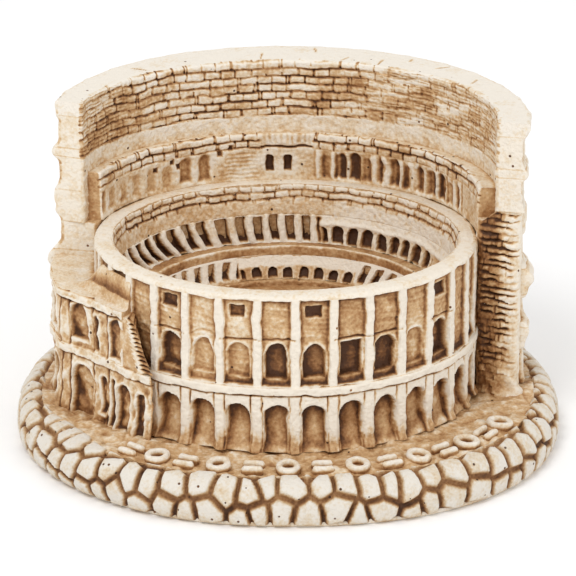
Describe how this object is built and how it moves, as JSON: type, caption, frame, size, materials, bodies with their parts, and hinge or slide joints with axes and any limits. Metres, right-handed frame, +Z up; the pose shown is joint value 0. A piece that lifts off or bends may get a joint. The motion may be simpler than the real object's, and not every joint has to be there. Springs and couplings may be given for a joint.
{
  "type": "amphitheatre souvenir model",
  "caption": "Cast miniature of a ruined oval amphitheatre on a cobbled oval base, with a low front arcade, a stepped arena bowl and a tall curved rear wall.",
  "frame": {"origin": "centre of the oval base, on its underside", "axes": "+X to the right along the long axis of the oval, +Y towards the tall rear wall, +Z up"},
  "size_m": [0.0982, 0.087, 0.0597],
  "materials": {
    "cream_cast": "matt cast stone with brown wash in the hollows",
    "white_edges": "matt cast stone, rubbed clean on raised edges",
    "tan_ground": "matt cast stone, heavy brown wash",
    "cobbles": "matt cast stone, pale tops and brown joints"
  },
  "bodies": {
    "root": {"base_lip": "white_edges", "base_core": "tan_ground", "kerb_lower_course": "cobbles", "kerb_upper_course": "cobbles", "forecourt": "tan_ground", "forecourt_relief": "cobbles", "lower_arcade": "cream_cast", "string_course": "white_edges", "upper_arcade": "cream_cast", "arcade_rim": "white_edges", "substructure": "tan_ground", "arena_floor": "tan_ground", "podium_kerb": "tan_ground", "arena_wall": "cream_cast", "arena_terrace": "tan_ground", "radial_wall_gallery": "cream_cast", "seating_courses": "cream_cast", "niche_gallery": "cream_cast", "outer_storey_1": "cream_cast", "outer_cornice_1": "white_edges", "outer_storey_2": "cream_cast", "outer_cornice_2": "white_edges", "outer_storey_3": "cream_cast", "outer_cornice_3": "white_edges", "outer_storey_4": "cream_cast", "outer_cornice_4": "white_edges", "attic_storey": "cream_cast", "wall_coping": "white_edges", "right_brick_pier": "cream_cast", "left_lower_storey": "cream_cast", "left_string_course": "white_edges", "left_upper_storey": "cream_cast", "left_terrace": "white_edges", "left_broken_edge": "cream_cast"}
  },
  "joints": []
}
